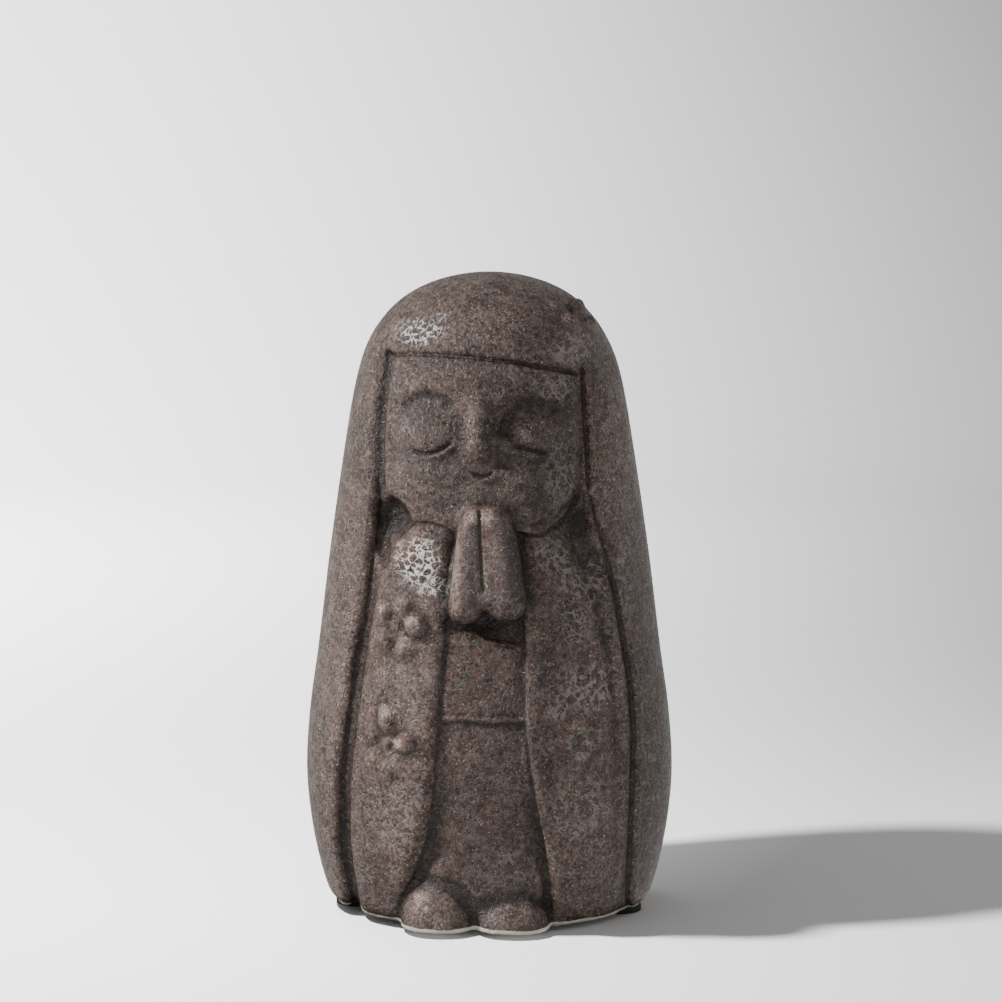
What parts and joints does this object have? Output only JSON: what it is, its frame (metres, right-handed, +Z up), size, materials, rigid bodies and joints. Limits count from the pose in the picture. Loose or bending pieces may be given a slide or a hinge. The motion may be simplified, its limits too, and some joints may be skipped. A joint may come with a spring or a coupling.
{
  "type": "goddess figurine",
  "caption": "Praying girl goddess in long hair and robe, a glazed stoneware table figurine on stick-on foam pads.",
  "frame": {"origin": "on the table under the middle of the figurine, level with the undersides of its pads", "axes": "+Z up, the figurine faces -Y, +X to the right of someone who looks at its face"},
  "size_m": [0.0972, 0.0838, 0.168],
  "materials": {
    "glaze": "semi-gloss mottled brown stoneware glaze with rust spots and a silvery web, over a cream bare rim",
    "pad": "matte black foam rubber"
  },
  "bodies": {
    "root": {"figurine": "glaze", "foot_pad_left": "pad", "foot_pad_front": "pad", "foot_pad_right": "pad", "foot_pad_back": "pad"}
  },
  "joints": []
}
